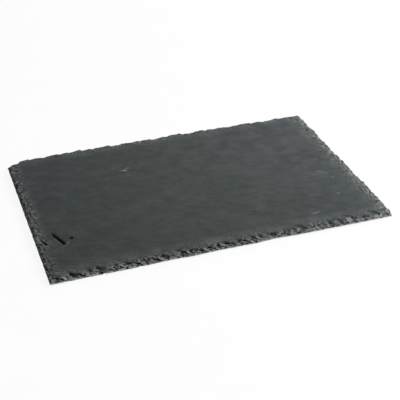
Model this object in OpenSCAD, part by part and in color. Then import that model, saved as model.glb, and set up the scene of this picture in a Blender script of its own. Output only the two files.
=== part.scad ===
// Slate serving board with hand-dressed edges, on four self-adhesive foam feet.
// X runs along the length, Y along the width and Z up. The origin is the centre
// of the footprint, on the surface that the feet stand on. Sizes are millimetres.

/* [Slate] */
// Length of the slate
slate_length = 300; // [200:5:400]
// Width of the slate
slate_width = 200; // [140:5:300]
// Thickness of the slate
slate_thickness = 5; // [4:0.25:7]

/* [Dressed edge] */
// How far in from the outline the main flakes reach
flake_reach = 5.5; // [4:0.25:8]
// Height of the upright break left below the main flakes
break_height = 1.2; // [0.6:0.1:2]
// Height that a flake's floor climbs from its steep wall to the next ridge
ridge_height = 1.1; // [0.6:0.1:2]
// Depth of the cleft at the foot of a steep wall
cleft_depth = 0.8; // [0.3:0.1:1.5]
// Width of that cleft
cleft_width = 1.1; // [0.6:0.1:2]
// Spacing of the short flakes along the lip
chip_spacing = 7; // [5:0.5:12]
// How far in from the outline the short flakes reach
chip_reach = 3.6; // [2.5:0.1:5]
// Height of the ridges between the short flakes
chip_ridge_height = 0.8; // [0.4:0.1:1.2]
// How far in from the outline the thin flakes off the face reach
thin_reach = 9; // [8:0.5:14]
// Thickness of the thin flakes at the outline
thin_depth = 1.8; // [0.8:0.1:2.4]

/* [Scar on the face] */
// Greatest thickness of the leaf that has come away by the left edge
leaf_thickness = 0.4; // [0.2:0.05:1]
// Width of the open splits beside it
split_width = 2; // [1:0.1:2.5]
// Depth of those splits
split_depth = 2; // [0.5:0.1:2.5]
// Diameter of the pit beside it
pit_diameter = 2.2; // [1.5:0.1:3]

/* [Feet] */
// Diameter of a foam foot
pad_diameter = 12; // [8:0.5:20]
// Thickness of a foam foot
pad_thickness = 2; // [1:0.25:5]
// Thickness of the adhesive film on a foot
film_thickness = 0.2; // [0.1:0.05:0.5]
// Distance from the sides of the board to the centre of a foot
pad_inset = 26; // [20:1:40]

/* [Hidden] */
$fn = 96;

FRONT_LEFT = [-1, -1];
FRONT_RIGHT = [1, -1];
BACK_LEFT = [-1, 1];
BACK_RIGHT = [1, 1];

slate_underside = pad_thickness + film_thickness;
half_size = [slate_length / 2, slate_width / 2];

// Outline of the trimmed blank, anticlockwise from the front left, as shares of half
// the length and half the width. The back left corner is broken away on a slant.
outline_shares = [
    [-1.000, -0.985], [-0.992, -1.000], [-0.930, -1.000], [-0.780, -0.993], [-0.560, -0.998],
    [-0.340, -0.986], [-0.220, -0.995], [-0.060, -0.986], [0.150, -0.993], [0.260, -0.980],
    [0.400, -0.992], [0.620, -0.994], [0.760, -1.000], [0.900, -0.998], [0.992, -0.995],
    [0.994, -0.920], [0.990, -0.710], [0.997, -0.620], [0.993, -0.520], [1.000, -0.430],
    [0.988, -0.270], [0.996, -0.080], [0.989, 0.120], [0.996, 0.260], [0.989, 0.390],
    [0.996, 0.590], [0.990, 0.790], [0.998, 0.920], [0.975, 0.975], [0.920, 1.000],
    [0.840, 0.985], [0.770, 0.965], [0.640, 0.990], [0.520, 0.997], [0.350, 0.992],
    [0.040, 0.996], [-0.350, 1.000], [-0.590, 0.988], [-0.870, 0.975], [-0.945, 0.950],
    [-0.994, 0.915], [-0.998, 0.500], [-1.000, 0.100], [-0.997, -0.400],
];
outline = [for (p = outline_shares) [p.x * half_size.x, p.y * half_size.y]];

// The flakes of the four sides, anticlockwise from the front. Each row of a side is a
// ridge and the flake that follows it: the ridge's place, as a share of half the side's
// length, and the flake's floor at the side's line, as a share of the break height above
// the side's own rise. A floor below the underside notches the outline.
front_flake_shares = [
    [-1.00, 1.2], [-0.94, 1.0], [-0.84, 0.0], [-0.77, -0.8], [-0.70, -0.2], [-0.63, 0.1],
    [-0.58, -0.9], [-0.51, -0.2], [-0.46, -0.6], [-0.40, -0.1], [-0.34, -1.0], [-0.26, 0.2],
    [-0.20, -0.5], [-0.15, -0.2], [-0.10, -1.0], [-0.04, 0.1], [0.02, -1.4], [0.09, -0.5],
    [0.17, 0.4], [0.21, -1.3], [0.28, 0.4], [0.35, 0.0], [0.42, -0.7], [0.50, 0.2],
    [0.56, -0.4], [0.64, 0.2], [0.70, 0.7], [0.77, -0.6], [0.84, 0.4], [0.91, 0.9],
    [0.97, 0.2], [1.03, 1.0],
];
right_flake_shares = [
    [-1.05, 1.0], [-0.97, 0.5], [-0.88, -0.2], [-0.78, 0.1], [-0.69, -0.7], [-0.60, 0.5],
    [-0.50, -0.4], [-0.42, -0.6], [-0.34, -0.1], [-0.25, -0.5], [-0.17, -0.8], [-0.08, 0.3],
    [0.01, 0.8], [0.12, 0.2], [0.22, -0.9], [0.33, -0.3], [0.44, 0.8], [0.52, 0.0],
    [0.63, -0.5], [0.71, -0.3], [0.81, -0.5], [0.90, -0.4], [1.00, -0.4],
];
back_flake_shares = [
    [-1.00, 0.8], [-0.91, 0.0], [-0.84, -0.9], [-0.77, -1.4], [-0.70, -0.6], [-0.62, -1.2],
    [-0.54, 0.4], [-0.46, -1.0], [-0.37, 0.6], [-0.30, 0.0], [-0.22, -0.5], [-0.14, 0.0],
    [-0.04, -0.2], [0.06, -0.4], [0.15, -0.6], [0.23, -0.2], [0.34, 0.4], [0.40, 0.2],
    [0.47, -0.2], [0.53, 0.0], [0.61, -0.1], [0.68, -0.6], [0.79, -0.4], [0.87, -0.2],
    [0.95, 0.8], [1.02, 1.0],
];
left_flake_shares = [
    [-1.00, 0.8], [-0.90, 1.0], [-0.80, 0.6], [-0.70, 0.9], [-0.60, 0.4], [-0.51, 1.0],
    [-0.41, 0.7], [-0.31, 1.0], [-0.20, 1.2], [-0.08, 1.0], [0.02, 0.8], [0.12, 1.0],
    [0.22, 0.3], [0.32, 1.0], [0.42, 0.4], [0.52, 0.8], [0.62, 0.3], [0.72, 1.0],
    [0.82, 0.6], [0.91, 0.8], [1.02, 1.0],
];
side_flake_shares = [front_flake_shares, right_flake_shares, back_flake_shares, left_flake_shares];

// Thin flakes off the face along each side: the place and the width of each, as shares
// of half the side's length
thin_flake_shares = [
    [[-0.86, 0.10], [-0.75, 0.06], [-0.62, 0.05], [-0.54, 0.07], [-0.44, 0.06], [-0.34, 0.06],
        [-0.23, 0.07], [-0.09, 0.07], [-0.01, 0.05], [0.10, 0.05], [0.18, 0.07], [0.27, 0.05],
        [0.38, 0.08], [0.47, 0.06], [0.59, 0.08], [0.68, 0.05], [0.79, 0.07], [0.94, 0.08]],
    [[-0.77, 0.11], [-0.64, 0.08], [-0.36, 0.10], [-0.23, 0.07], [0.04, 0.13], [0.34, 0.09],
        [0.45, 0.07], [0.79, 0.15], [0.95, 0.10]],
    [[-0.88, 0.06], [-0.77, 0.13], [-0.57, 0.05], [-0.42, 0.06], [-0.18, 0.06], [-0.01, 0.05],
        [0.10, 0.07], [0.29, 0.05], [0.44, 0.08], [0.64, 0.06], [0.76, 0.10]],
    [[-0.82, 0.12], [-0.62, 0.08], [-0.46, 0.07], [-0.13, 0.10], [0.14, 0.08], [0.27, 0.10],
        [0.49, 0.08], [0.67, 0.12], [0.88, 0.09]],
];

side_turns = [0, 90, 180, 270];
side_halves = [half_size.x, half_size.y, half_size.x, half_size.y];
side_distances = [half_size.y, half_size.x, half_size.y, half_size.x];

// How far the flakes of each side reach, as shares of the flake reach
side_reach_shares = [1.00, 1.40, 1.40, 0.62];

// How high the ridges of each side stand, as shares of the ridge height
side_ridge_shares = [1.00, 0.50, 0.35, 0.60];

// How far the flakes' floors are raised on each side, as shares of the thickness: the
// right and the back were dressed to a shallower bevel over a higher break. And how much
// of the tables' ups and downs each side has.
side_rise_shares = [0.00, 0.30, 0.35, 0.10];
side_swing_shares = [1.00, 0.70, 0.45, 1.00];

// Shares by which the flakes wander, and the lean of a flake along its side, of which
// each side has a share
reach_wander_share = 0.30;
ridge_wander_share = 0.35;
flake_lean = 42;
lean_wander_share = 0.3;
side_lean_shares = [1.00, 0.40, 0.30, 0.70];

// The share of each side's flakes that have a cleft at the foot of the steep wall, and
// which sides are dressed the other way along
side_cleft_shares = [0.75, 0.00, 0.20, 0.60];
side_mirrors = [[0, 0, 0], [1, 0, 0], [0, 0, 0], [1, 0, 0]];

// The lean of a steep wall and of the cutter's far wall, and where the flake's floor bends
// as it climbs away from the steep wall, as shares of its width and its ridge's height
wall_lean = 12;
far_wall_lean = 60;
bend_place_share = 0.45;
bend_rise_share = 0.2;
flake_overlap_share = 1.15;

// Shares by which the short flakes wander, the lowest and the highest of their floors at
// the side's line, as shares of the break height, and how much of that each side has
chip_width_wander_share = 0.35;
chip_reach_wander_share = 0.30;
chip_floor_low_share = -1.6;
chip_floor_high_share = 0.2;
side_chip_shares = [1.00, 0.50, 0.30, 0.40];

// Height of the ridge at the sides of a thin flake, as a share of its depth, and how
// much its reach wanders
thin_ridge_share = 0.6;
thin_wander_share = 0.3;

// How far a flake's cutter runs past the rim, as a share of its reach, and how high it
// stands over its floor, as a share of the thickness
cutter_past_share = 1.5;

function wander(share, noise) = 1 + share * noise;

// Profile of a flake's cutter. The steep wall stands on the right, over a cleft, and on
// the left the floor climbs to the rise at the width, bending once. There it overlaps
// the next flake's steep wall a little, and the cutter closes.
function flake_profile(width, rise, cleft) =
    let (
        height = cutter_past_share * slate_thickness,
        far = flake_overlap_share * width
    )
    [
        [0, -cleft], [height * tan(wall_lean), height],
        [-far - (height - rise) * tan(far_wall_lean), height], [-far, rise],
        [-bend_place_share * width, bend_rise_share * rise], [-cleft_width, 0],
    ];

// A straight cut whose floor climbs from the given height at the side's line to the top
// face at the given reach, and leans along the side as it goes in. It runs on until its
// lowest line has left the top face.
module sloping_cut(profile, floor_height, reach, lean) {
    along = reach / cos(lean);
    climb = atan2(slate_thickness - floor_height, along);
    lowest = min([for (point = profile) point.y]);
    run = along / cos(climb) - lowest / tan(climb);
    translate([0, 0, floor_height]) rotate([90 + climb, 0, lean])
        translate([0, 0, -cutter_past_share * along])
            linear_extrude(cutter_past_share * along + run) polygon(profile);
}

module side_flakes(side) {
    table = side_flake_shares[side];
    flakes = len(table) - 1;
    places = [for (row = table) row[0] * side_halves[side]];
    reaches = rands(-1, 1, flakes, 10 * side + 1);
    heights = rands(-1, 1, flakes, 10 * side + 2);
    leans = rands(-1, 1, flakes, 10 * side + 3);
    clefts = rands(0, 1, flakes, 10 * side + 4);
    for (i = [0 : flakes - 1])
        translate([places[i + 1], 0, 0])
            sloping_cut(
                flake_profile(
                    places[i + 1] - places[i],
                    ridge_height * side_ridge_shares[side] * wander(ridge_wander_share, heights[i]),
                    clefts[i] < side_cleft_shares[side] ? cleft_depth : 0
                ),
                break_height * side_swing_shares[side] * table[i][1]
                    + slate_thickness * side_rise_shares[side],
                flake_reach * side_reach_shares[side] * wander(reach_wander_share, reaches[i]),
                flake_lean * side_lean_shares[side] * wander(lean_wander_share, leans[i])
            );
}

// The short flakes that the last blows left along the lip, steeper than the main ones
module side_chips(side) {
    chips = floor(2 * side_halves[side] / chip_spacing);
    places = rands(0, 1, chips, 10 * side + 5);
    widths = rands(-1, 1, chips, 10 * side + 6);
    reaches = rands(-1, 1, chips, 10 * side + 7);
    floors = rands(chip_floor_low_share, chip_floor_high_share, chips, 10 * side + 8);
    leans = rands(-1, 1, chips, 10 * side + 9);
    for (i = [0 : chips - 1])
        translate([(i + places[i]) * chip_spacing - side_halves[side], 0, 0])
            sloping_cut(
                flake_profile(
                    chip_spacing * wander(chip_width_wander_share, widths[i]), chip_ridge_height, 0
                ),
                break_height * floors[i] * side_chip_shares[side],
                chip_reach * wander(chip_reach_wander_share, reaches[i]),
                flake_lean * side_lean_shares[side] * wander(lean_wander_share, leans[i])
            );
}

// The thin flakes that came off the face further in, which the main ones cut into
module side_thin_flakes(side) {
    reaches = rands(-1, 1, len(thin_flake_shares[side]), 10 * side + 10);
    leans = rands(-1, 1, len(thin_flake_shares[side]), 10 * side + 11);
    for (i = [0 : len(thin_flake_shares[side]) - 1]) {
        row = thin_flake_shares[side][i];
        translate([row[0] * side_halves[side], 0, 0])
            sloping_cut(
                flake_profile(row[1] * side_halves[side], thin_ridge_share * thin_depth, 0),
                slate_thickness - thin_depth,
                thin_reach * side_reach_shares[side] * wander(thin_wander_share, reaches[i]),
                flake_lean * side_lean_shares[side] * wander(lean_wander_share, leans[i])
            );
    }
}

module dressed_side(side) {
    rotate(side_turns[side]) mirror(side_mirrors[side]) translate([0, -side_distances[side], 0]) {
        side_thin_flakes(side);
        side_flakes(side);
        side_chips(side);
    }
}

// The leaf that has come away at the front left, as shares of half the length and half
// the width. It is thickest by the long split, and thins out to nothing away from it. Its
// first two corners lie inside the split, clear of the split's own ends.
leaf_shares = [
    [-0.8925, -0.377], [-0.8545, -0.528], [-0.862, -0.62], [-0.920, -0.78], [-0.955, -0.60],
];
leaf_fade_shares = [-0.925, -0.70];
leaf_thick_shares = [-0.875, -0.45];
long_split_shares = [[-0.900, -0.355], [-0.852, -0.545]];
short_split_shares = [[-0.970, -0.41], [-0.945, -0.52]];
pit_place_shares = [-0.807, -0.485];

// Widths of the narrow and the wide end of a split, and the width of the short one, as
// shares of the long one's
split_end_shares = [0.45, 1.00];
short_split_width_share = 0.9;

function on_board(shares) = [shares.x * half_size.x, shares.y * half_size.y];

// A split with upright walls, narrow at its first end
module split(shares, width) {
    from = on_board(shares[0]);
    to = on_board(shares[1]);
    translate([from.x, from.y, slate_thickness - split_depth])
        rotate(atan2(to.y - from.y, to.x - from.x))
            linear_extrude(2 * split_depth)
                polygon([
                    [0, 0], [split_end_shares[0] * width, -split_end_shares[0] * width / 2],
                    [norm(to - from), -split_end_shares[1] * width / 2],
                    [norm(to - from), split_end_shares[1] * width / 2],
                    [split_end_shares[0] * width, split_end_shares[0] * width / 2],
                ]);
}

module leaf() {
    fade = on_board(leaf_fade_shares);
    thick = on_board(leaf_thick_shares);
    run = norm(thick - fade);
    intersection() {
        translate([0, 0, slate_thickness - 2 * leaf_thickness])
            linear_extrude(3 * leaf_thickness) polygon([for (p = leaf_shares) on_board(p)]);
        translate([fade.x, fade.y, slate_thickness])
            rotate([0, atan2(leaf_thickness, run), atan2(thick.y - fade.y, thick.x - fade.x)])
                translate([0, -2 * run, 0]) cube([4 * run, 4 * run, run]);
    }
}

module face_scar() {
    leaf();
    split(long_split_shares, split_width);
    split(short_split_shares, split_width * short_split_width_share);
    pit = on_board(pit_place_shares);
    translate([pit.x, pit.y, slate_thickness]) sphere(d = pit_diameter);
}

module slate_slab() {
    color("darkslategray")
        translate([0, 0, slate_underside])
            difference() {
                linear_extrude(slate_thickness) polygon(outline);
                for (side = [0 : 3]) dressed_side(side);
                face_scar();
            }
}

function foot_place(corner) =
    [corner.x * (slate_length / 2 - pad_inset), corner.y * (slate_width / 2 - pad_inset), 0];

module foot_pad(corner) {
    color("black") translate(foot_place(corner)) cylinder(d = pad_diameter, h = pad_thickness);
}

module foot_film(corner) {
    color("white")
        translate(foot_place(corner) + [0, 0, pad_thickness])
            cylinder(d = pad_diameter, h = film_thickness);
}

slate_slab();
foot_pad(FRONT_LEFT);  // foot_pad_front_left
foot_pad(FRONT_RIGHT);  // foot_pad_front_right
foot_pad(BACK_LEFT);  // foot_pad_back_left
foot_pad(BACK_RIGHT);  // foot_pad_back_right
foot_film(FRONT_LEFT);  // foot_film_front_left
foot_film(FRONT_RIGHT);  // foot_film_front_right
foot_film(BACK_LEFT);  // foot_film_back_left
foot_film(BACK_RIGHT);  // foot_film_back_right
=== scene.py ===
import math

import bpy
import numpy as np
from mathutils import Matrix, Vector, geometry, noise
from mathutils.bvhtree import BVHTree


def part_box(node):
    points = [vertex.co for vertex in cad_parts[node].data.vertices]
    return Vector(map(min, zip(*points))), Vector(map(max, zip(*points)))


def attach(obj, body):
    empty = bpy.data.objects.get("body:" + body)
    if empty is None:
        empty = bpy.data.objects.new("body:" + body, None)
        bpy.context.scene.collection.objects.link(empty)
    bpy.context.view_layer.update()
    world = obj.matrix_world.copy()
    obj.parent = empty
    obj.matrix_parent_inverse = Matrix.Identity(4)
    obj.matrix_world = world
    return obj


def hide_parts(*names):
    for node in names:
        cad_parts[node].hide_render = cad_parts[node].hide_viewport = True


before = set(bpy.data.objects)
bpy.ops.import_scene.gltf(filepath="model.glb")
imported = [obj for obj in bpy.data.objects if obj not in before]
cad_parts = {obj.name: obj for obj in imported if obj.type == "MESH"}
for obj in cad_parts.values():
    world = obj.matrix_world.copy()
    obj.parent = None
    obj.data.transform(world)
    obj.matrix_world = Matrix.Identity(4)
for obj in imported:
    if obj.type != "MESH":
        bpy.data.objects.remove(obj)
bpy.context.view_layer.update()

# Slate serving board. The slab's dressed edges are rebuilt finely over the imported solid:
# rays sweep round the board and meet the solid, and the fracture detail is carved into
# what they meet. Lengths inside the mesh functions are millimetres, heights are above
# the slab's underside.
MM = 0.001

# The sweep: the gap between its stations on the straights and their number at a corner, the
# rays at each, the insets of a corner's centre and of the sweep's end, and the heights at
# which the outline is met and the other rays start
STATION_SPACING = 0.45
CORNER_STATIONS = 44
RAYS = 30
CORNER_INSET = 16.0
RING_INSET = 11.0
EDGE_PROBE_HEIGHT = 0.03
RAY_START_HEIGHT = 12.0

# Jittered triangular grids fill the flat faces: their spacings, the width of the rim's band,
# how far inside they stay, their rows' height and jitter as shares of a spacing, and seeds
FACE_SPACING = 1.9
RIM_SPACING = 0.9
RIM_BAND = 7.0
FACE_CLEAR = 0.35
UNDERSIDE_SPACING = 4.0
UNDERSIDE_CLEAR = 6.0
ROW_SHARE = 0.866
JITTER_SHARE = 0.16
FACE_SEED = 2
UNDERSIDE_SEED = 5

# The underside: how far in a ring of points keeps its brim crisp, and how far from the edge
# and from a foot the riven relief begins
UNDERSIDE_BRIM = 0.7
UNDERSIDE_RELIEF = (1.0, 6.0)
FOOT_CLEAR = 6.0

# Waves are a height, the size of their features and a seed. Patches are a size, a seed and
# the limits between which they fade in.
# Relief of the riven faces: swells, finer waves, and terraces with thin steps
RELIEF_WAVES = ((0.05, (46, 30, 1), 3.1), (0.03, (15, 9, 1), 7.7), (0.014, (5.5, 3.6, 1), 12.3))
TERRACE_WAVES = ((1.0, (70, 24, 1), 21.4), (0.10, (15, 9, 1), 7.7))
TERRACE_STEPS = ((0.09, (0.17, 0.22)), (0.08, (-0.34, -0.30)))

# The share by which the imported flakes' crests are worn down, front, right, back and left,
# the rounds of averaging along the edge, and the first rays, which keep the outline
WEAR_SHARES = (0.65, 0.30, 0.50, 0.65)
WEAR_ROUNDS = 60
WEAR_CLEAR_RAYS = 4

# Lips of slate over open slits lean along the dressed edges. Front, right, back and left:
# how far they lean from the edge, in degrees, and the share of the depths that they have
LIP_LEANS = (33, 25, 30, -16)
LIP_SHARES = (1.0, 0.40, 0.6, 0.75)
LIP_DEPTH = 0.85
LIP_REACH = 5.0
LIP_MIDDLE = 4.0
LIP_WAVES = ((1.5, (9, 5, 1), 0.0), (0.7, (2.6, 1.8, 1), 8.0))
LIP_SEED_STEP = 5.3
SLIT_DEPTH = 0.75
SLIT_WIDTH = 1.55
SLIT_FLOOR_SHARE = 0.35
SLIT_PATCHES = ((5, 3, 1), 14.0, (-0.6, 0.1))
SLIT_CLEAR = 0.3

# Place along the side and strength of each of the front's lips, and the gaps and strengths
# that the other sides' are drawn from
FRONT_LIPS = (
    (-140, 1.0), (-124, 1.0), (-110, 0.4), (-101, 0.7), (-91, 0.9), (-78, 0.8), (-62, 1.0), (-48, 0.5),
    (-36, 0.8), (-24, 0.7), (-15, 0.8), (-7, 1.0), (3, 0.7), (15, 0.9), (26, 0.9), (40, 0.5),
    (50, 0.6), (60, 0.3), (70, 0.5), (84, 0.5), (94, 0.3), (103, 0.35), (113, 0.45), (130, 0.8),
)
LIP_GAPS = (7, 17)
LIP_STRENGTHS = (0.4, 1.0)

# Fine leaves between the lips lean less, rise slowly and end steeply
SHINGLE_SPACING = 2.3
SHINGLE_DEPTH = 0.17
SHINGLE_LEAN_SHARE = 0.6
SHINGLE_RISE_SHARE = 0.85
SHINGLE_WAVE = (0.8, (6, 4, 1), 0.0)
SHINGLE_SEED_STEP = 3.7

# Every cut has this share of its depth at the outline, and all of it this far up
OUTLINE_SHARE = 0.25
OUTLINE_CLEAR = 1.8

# Leaves of slate step down the dressed edge: their thickness, how far they show, their
# warp, the shares of the thickness where a step rises, and the patches where they show
LEAF_THICKNESS = 1.15
LEAF_SHARE = 0.6
LEAF_WARP = (0.45, (17, 17, 4), 6.3)
LEAF_STEP_SHARES = (0.3, 0.7)
LEAF_PATCHES = ((8, 8, 3), 2.9, (-0.5, 0.4))

# The fracture between them: facets and chips, as depth, size and seed, the shares of that
# depth at which they lie, step and tilt, with the keys of their draws, and thin leaves
FACETS = (0.40, (3.0, 3.0, 1.4), 4.2)
CHIPS = (0.30, (1.4, 1.4, 0.8), 9.6)
FACET_LEVEL = 0.5
FACET_STEP = 0.3
FACET_TILT = 0.55
FACET_STEP_KEY = 17.3
FACET_TILT_KEY = 31.7
THIN_THICKNESS = 0.7
THIN_LENGTH = 5.0
THIN_DEPTH = 0.10
THIN_WARP = (0.5, 24, 5.0)
THIN_SEED = 2.0
THIN_SEED_STEP = 7.31

# Between these depths below the face the dressed edge begins, smoothed over some rounds
EDGE_DEPTHS = (0.10, 0.90)
EDGE_ROUNDS = 3
NORMAL_ROUNDS = 2

# Shallow spalls round the face: the place along the side, the half length and the reach
# inwards of each, from the photograph on the right, and drawn on the back and the left
RIGHT_SPALLS = (
    (-84, 13, 9.0), (-64, 16, 12.5), (-48, 9, 9.5), (-40, 9, 12.0), (-26, 12, 12.0),
    (-12, 10, 9.0), (10, 14, 10.0), (30, 14, 12.0), (55, 14, 10.0), (75, 12, 9.0), (92, 8, 8.0),
)
SPALL_SEED = 20
SPALL_GAPS = (6.0, 12.0)
SPALL_HALVES = (4.5, 9.0)
SPALL_REACHES = (4.0, 9.0)
SPALL_WAVES = ((0.45, (5, 5, 1), 17.0), (0.27, (2, 2, 1), 6.0))
SPALL_RIM = 0.22
SPALL_END_GAP = 0.5
SPALL_DEPTH = 0.22
SPALL_BREAK = 0.60

# How far the dressed edges are drawn out to the photographed outline, front, right, back
# and left, how far in that fades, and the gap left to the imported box. On the right it begins
# between these heights and this far from the corners, and has a bulge: its place, half
# length and reach.
EASED_OUT = (0.35, 1.5, 0.0, 0.65)
EASED_FADE = (3.0, 10.0)
BOX_GAP = 0.12
EASED_RIGHT_HEIGHTS = (-0.01, 1.49)
EASED_RIGHT_CORNER = 6.0
BULGE = (-46.5, 9.0, 2.6)

# The far left corner's tip: the line that its rim is drawn in to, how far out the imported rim
# lies and how far in it is eased, and the places along the board where the easing ends
TIP_LINE = ((-150.0, 86.3), (-116.4, 95.6))
TIP_CUT = 6.0
TIP_EASE = 5.0
TIP_ENDS = (-142.0, -137.0)

# The scar by the left edge: its splits, narrow end first, with their widths, the rows of
# points beside them as shares of half the width, its pit, and the zone of finer points
SPLITS = (((-135.0, -35.5), (-127.8, -54.5), 2.0), ((-145.5, -41.0), (-141.75, -52.0), 1.8))
SPLIT_NARROW_SHARE = 0.45
SPLIT_STEP = 0.3
SPLIT_ROW_SHARES = (0, 0.5, 0.94, 1.06, 1.5, 2.1)
SPLIT_BAND = 1.9
PIT = (-121.0, -48.5)
PIT_BAND = 2.4
PIT_SPACING = 0.3
SCAR_CENTRE = (-130.0, -55.0)
SCAR_RADIUS = 24.0
SCAR_SPACING = 0.7

# The face has crumbled beside the long split, past the sound share at its narrow end, and
# round the pit: the reach from each, the shares of that where it fades, and the depth
CRUMBLED_SOUND_SHARE = 0.15
CRUMBLED_SPLIT = 1.6
CRUMBLED_PIT = 2.0
CRUMBLED_FADE_SHARES = (0.6, 1.0)
CRUMBLED_DEPTH = 0.75

# Painted shade in the splits and the pit: a split's reach and depths on the swept edge and the
# shares of the thickness where it ends, and the depths of the pit and of the splits on the face
SPLIT_REACH = (0.5 * SPLIT_BAND, 0.8 * SPLIT_BAND)
SPLIT_DEPTHS = (0.5, 1.2)
SPLIT_END_SHARES = (0.6, 0.8)
PIT_SHADE_DEPTHS = (0.02, 0.3)
SPLIT_SHADE_DEPTHS = (0.35, 1.0)

# How fresh the sunken face of the scar is, between these depths
SUNK_FRESH = 0.20
SUNK_FRESH_DEPTHS = (0.02, 0.12)

# Pale bruises on the face: both ends of each, its reach and how pale it is
BRUISES = (
    ((-54.0, 43.9), (-52.0, 43.6), 1.4, 0.45),
    ((-50.4, 43.5), (-49.2, 43.1), 2.1, 1.00),
    ((-48.0, 46.6), (-45.0, 46.2), 1.4, 0.50),
    ((115.5, -15.5), (123.0, -18.1), 1.3, 0.40),
    ((116.5, -19.0), (124.5, -21.8), 1.3, 0.40),
    ((125.2, -30.0), (126.0, -30.3), 1.3, 0.50),
    ((117.0, -56.6), (118.6, -57.2), 1.2, 0.60),
    ((83.0, -80.2), (88.0, -79.0), 2.2, 0.35),
    ((124.6, 4.8), (125.6, 4.4), 1.4, 0.35),
    ((-121.5, -50.5), (-131.0, -61.0), 1.0, 0.25),
    ((-127.5, -56.0), (-125.0, -54.5), 1.4, 0.40),
)
BRUISE_CORE_SHARE = 0.2
BRUISE_SPACING = 0.6

# How far in from the sides, front, right, back and left, the face is rubbed pale and speckled with
# small chips, with their painted highlights and shade, and the share of that over which both are strong
MARGINS = (20.0, 22.0, 22.0, 15.0)
PAINTED_CHIPS_REACH = (10.0, 18.0, 18.0, 13.0)
STRONG_SHARE = 1 / 3

# How far below its neighbourhood broken stone is painted with shade, and how far above it
# is pale, where the neighbourhood is averaged over some rounds
HOLLOW_ROUNDS = 10
HOLLOW_SHADE_DEPTHS = (0.02, 0.26)
RIDGE_HEIGHTS = (0.02, 0.20)

# Towards the right end, where the light comes from, between these places along the board, the
# painted shade of the hollows loses a share and more of the broken stone is painted light, as pale
# as ridges: in patches, above these heights, and less behind the front edge. The face grows paler there
# too, partly as painted light.
PAINTED_LIGHT_FROM = (10.0, 90.0)
PAINTED_LIGHT_SHADE_LOSS = 0.50
PAINTED_LIGHT_PALE = 0.85
PAINTED_LIGHT_PATCHES = (3.4, 3.3, (-0.1, 0.3))
PAINTED_LIGHT_HEIGHTS = (0.8, 2.2)
PAINTED_LIGHT_BEHIND = (-92.0, -84.0)
PAINTED_LIGHT_BEHIND_LOSS = 0.7
# The face grows paler and bluer here: partly its own tone, partly painted light from the right
PALER_AND_LIT_FROM = (70.0, 145.0)

# Low on the edge the ridges are duller in patches, and behind the front edge the lowest
# stone is weathered in patches to the face's colour
DULL_HEIGHTS = (0.3, 1.4)
DULL_SHARE = 0.75
DULL_PATCHES = ((4.0, 4.0, 2.0), 8.8, (-0.25, 0.2))
WEATHERED_HEIGHTS = (1.0, 2.1)
WEATHERED_SHARE = 0.85
WEATHERED_BEHIND = (-99.0, -95.0)
WEATHERED_PATCHES = ((5, 5, 2), 15.2, (-0.6, 0.1))

# Where the face is bluer: centres and reaches, and the softness and wander of the borders
BLUER_PLACES = (((160.0, 60.0), 118.0), ((165.0, -90.0), 84.0), ((-128.0, 42.0), 38.0))
BLUER_EDGE = 14.0
BLUER_WAVE = (BLUER_EDGE, 34, 9.1)

slab_low, slab_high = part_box("slate_slab")
UNDERSIDE = slab_low.z / MM
THICKNESS = (slab_high.z - slab_low.z) / MM
HALF_LENGTH = round(slab_high.x / MM)
HALF_WIDTH = round(slab_high.y / MM)
FEET = [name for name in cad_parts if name.startswith("foot_pad")]
FILMS = [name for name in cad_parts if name.startswith("foot_film")]


def smooth(low, high, value):
    """0 below low, 1 above high, and a smooth step between them."""
    t = np.clip((value - low) / (high - low), 0, 1)
    return t * t * (3 - 2 * t)


def noise_at(points, scale, seed=0.0):
    """Smooth noise from -1 to 1 at each point, with features about this many millimetres long."""
    scaled = np.asarray(points) / np.asarray(scale) + seed
    values = [noise.noise(Vector(p)) for p in scaled.reshape(-1, 3)]
    return np.array(values).reshape(scaled.shape[:-1])


def waves(points, *named):
    """The sum of the named waves at each point."""
    return sum(height * noise_at(points, size, seed) for height, size, seed in named)


def patches(points, named):
    """1 on the named patches and 0 between them."""
    size, seed, limits = named
    return smooth(*limits, noise_at(points, size, seed))


def facets_at(points, named):
    """Depths of tilted facets, one to each cell, as a fracture leaves them."""
    depth, size, seed = named
    scaled = np.asarray(points) / np.asarray(size) + seed
    shares = []
    for p in scaled.reshape(-1, 3):
        _, near = noise.voronoi(Vector(p))
        tilt = noise.cell_vector(near[0] * FACET_TILT_KEY)
        step = noise.cell(near[0] * FACET_STEP_KEY)
        shares.append(FACET_LEVEL + FACET_STEP * step + FACET_TILT * (Vector(p) - near[0]).dot(tilt))
    return depth * np.clip(np.array(shares), 0, 1).reshape(scaled.shape[:-1])


def solid_tree():
    """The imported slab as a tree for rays, in millimetres above its underside."""
    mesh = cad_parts["slate_slab"].data
    points = [(v.co / MM) - Vector((0, 0, UNDERSIDE)) for v in mesh.vertices]
    return BVHTree.FromPolygons(points, [tuple(p.vertices) for p in mesh.polygons])


def stations():
    """Centres and outward directions of the rays, anticlockwise from the front left."""
    x, y = HALF_LENGTH - CORNER_INSET, HALF_WIDTH - CORNER_INSET
    corners = [Vector(c) for c in ((-x, -y), (x, -y), (x, y), (-x, y))]
    centres, outward = [], []
    for side in range(4):
        start, end = corners[side], corners[(side + 1) % 4]
        turn = side * math.pi / 2 - math.pi / 2
        count = round((end - start).length / STATION_SPACING)
        for i in range(count):
            centres.append(start.lerp(end, i / count))
            outward.append(Vector((math.cos(turn), math.sin(turn))))
        for i in range(CORNER_STATIONS):
            angle = turn + math.pi / 2 * i / CORNER_STATIONS
            centres.append(end.copy())
            outward.append(Vector((math.cos(angle), math.sin(angle))))
    return centres, outward


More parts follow.
